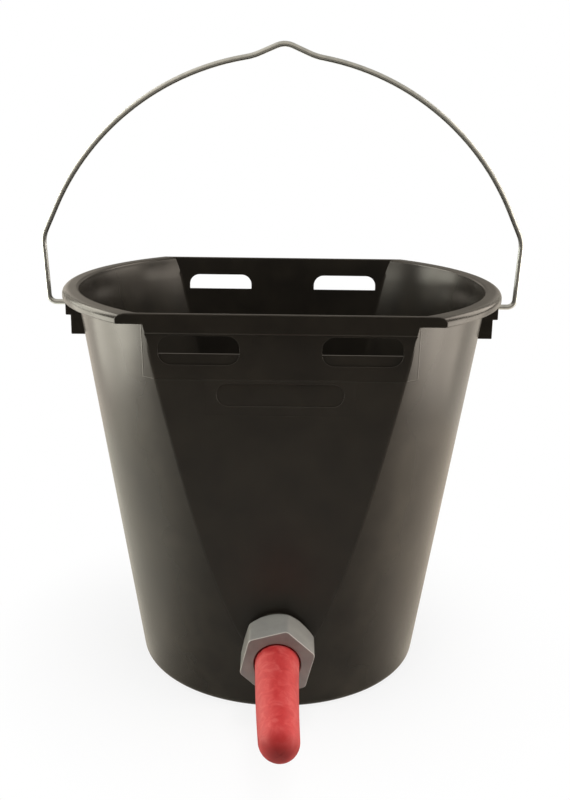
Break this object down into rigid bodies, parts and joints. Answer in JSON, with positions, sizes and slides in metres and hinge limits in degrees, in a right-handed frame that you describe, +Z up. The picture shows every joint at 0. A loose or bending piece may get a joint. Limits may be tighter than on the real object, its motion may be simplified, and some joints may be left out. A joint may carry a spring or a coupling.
{
  "type": "calf feeder bucket",
  "caption": "Tapered plastic feeding pail with flat front and back, hanging slots, a swinging wire bail and a low screwed-in rubber teat with a ball valve.",
  "frame": {"origin": "centre of the base's underside, where the pail stands", "axes": "+Z up along the pail's axis, -Y towards the teat, X along the bail's pivot axis"},
  "size_m": [0.32, 0.3196, 0.4175],
  "materials": {
    "pail_plastic": "glossy black moulded polypropylene",
    "galvanised_wire": "galvanised steel wire",
    "valve_plastic": "plain light grey moulded plastic",
    "seal_rubber": "black rubber",
    "ball_plastic": "white plastic",
    "teat_rubber": "red soft rubber with a dusty bloom",
    "nut_plastic": "light grey moulded plastic"
  },
  "bodies": {
    "bucket": {"bucket_shell": "pail_plastic", "valve_body": "valve_plastic", "flange_gasket": "seal_rubber", "wall_washer": "seal_rubber", "ball_cage": "valve_plastic"},
    "bail": {"bail": "galvanised_wire"},
    "ball": {"valve_ball": "ball_plastic"},
    "teat": {"teat": "teat_rubber"},
    "nut": {"union_nut": "nut_plastic"}
  },
  "joints": [
    {"name": "bail_swing", "type": "hinge", "parent": "bucket", "child": "bail", "pos_m": [0, 0, 0.249], "axis": [1, 0, 0], "range_deg": [-134.5, 134.5]},
    {"name": "ball_lift", "type": "slide", "parent": "bucket", "child": "ball", "axis": [0, -0.9962, -0.0872], "range_m": [0, 0.006]},
    {"name": "teat_withdraw", "type": "slide", "parent": "bucket", "child": "teat", "axis": [0, -0.9962, -0.0872], "range_m": [0, 0.015]},
    {"name": "nut_unscrew", "type": "hinge", "parent": "teat", "child": "nut", "pos_m": [0, -0.103, 0.05243], "axis": [0, -0.9962, -0.0872], "range_deg": [0, 1800]}
  ],
  "couplings": [
    {"joint": "teat_withdraw", "follows": "nut_unscrew", "m_per_rad": 0.00047746}
  ]
}
